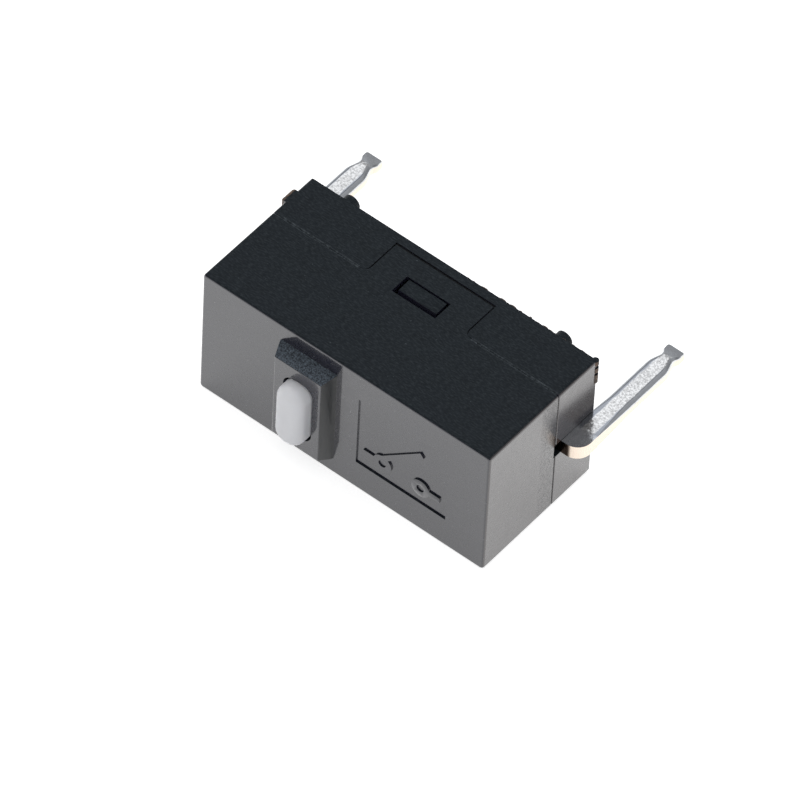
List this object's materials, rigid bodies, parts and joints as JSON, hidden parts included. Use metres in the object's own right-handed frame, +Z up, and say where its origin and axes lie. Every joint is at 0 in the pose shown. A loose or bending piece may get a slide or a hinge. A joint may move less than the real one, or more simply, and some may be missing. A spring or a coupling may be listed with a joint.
{
  "type": "micro switch",
  "caption": "Subminiature snap-action micro switch on its side: black clipped case, white plunger in a raised collar, flat tinned terminal at each end.",
  "frame": {"origin": "middle of the side face the switch lies on, halfway between the base's underside and the cover's top face", "axes": "+X along the case towards the contact terminal, -Y the way the plunger points, +Z up across the case"},
  "size_m": [0.0145, 0.0114, 0.006],
  "materials": {
    "case_plastic": "satin moulded black",
    "plunger_plastic": "smooth moulded white",
    "tinned_metal": "bright tin plate",
    "contact_silver": "silver alloy",
    "spring_alloy": "rolled copper alloy"
  },
  "bodies": {
    "case": {"cover": "case_plastic", "base": "case_plastic", "common_terminal": "tinned_metal", "contact_terminal": "tinned_metal", "fixed_contact": "contact_silver"},
    "plunger": {"plunger": "plunger_plastic"},
    "blade": {"snap_blade": "spring_alloy", "moving_contact": "contact_silver"}
  },
  "joints": [
    {"name": "plunger_press", "type": "slide", "parent": "case", "child": "plunger", "axis": [0, 1, 0], "range_m": [0, 0.0005], "stiffness_N_per_m": 1000, "springref_m": -0.0001, "deforming": ["snap_blade"]},
    {"name": "blade_swing", "type": "hinge", "parent": "case", "child": "blade", "pos_m": [-0.0044, -0.0004, 0.003], "axis": [0, 0, 1], "range_deg": [0, 3]}
  ],
  "couplings": [
    {"joint": "blade_swing", "follows": "plunger_press", "rad_per_m": 104.7}
  ]
}
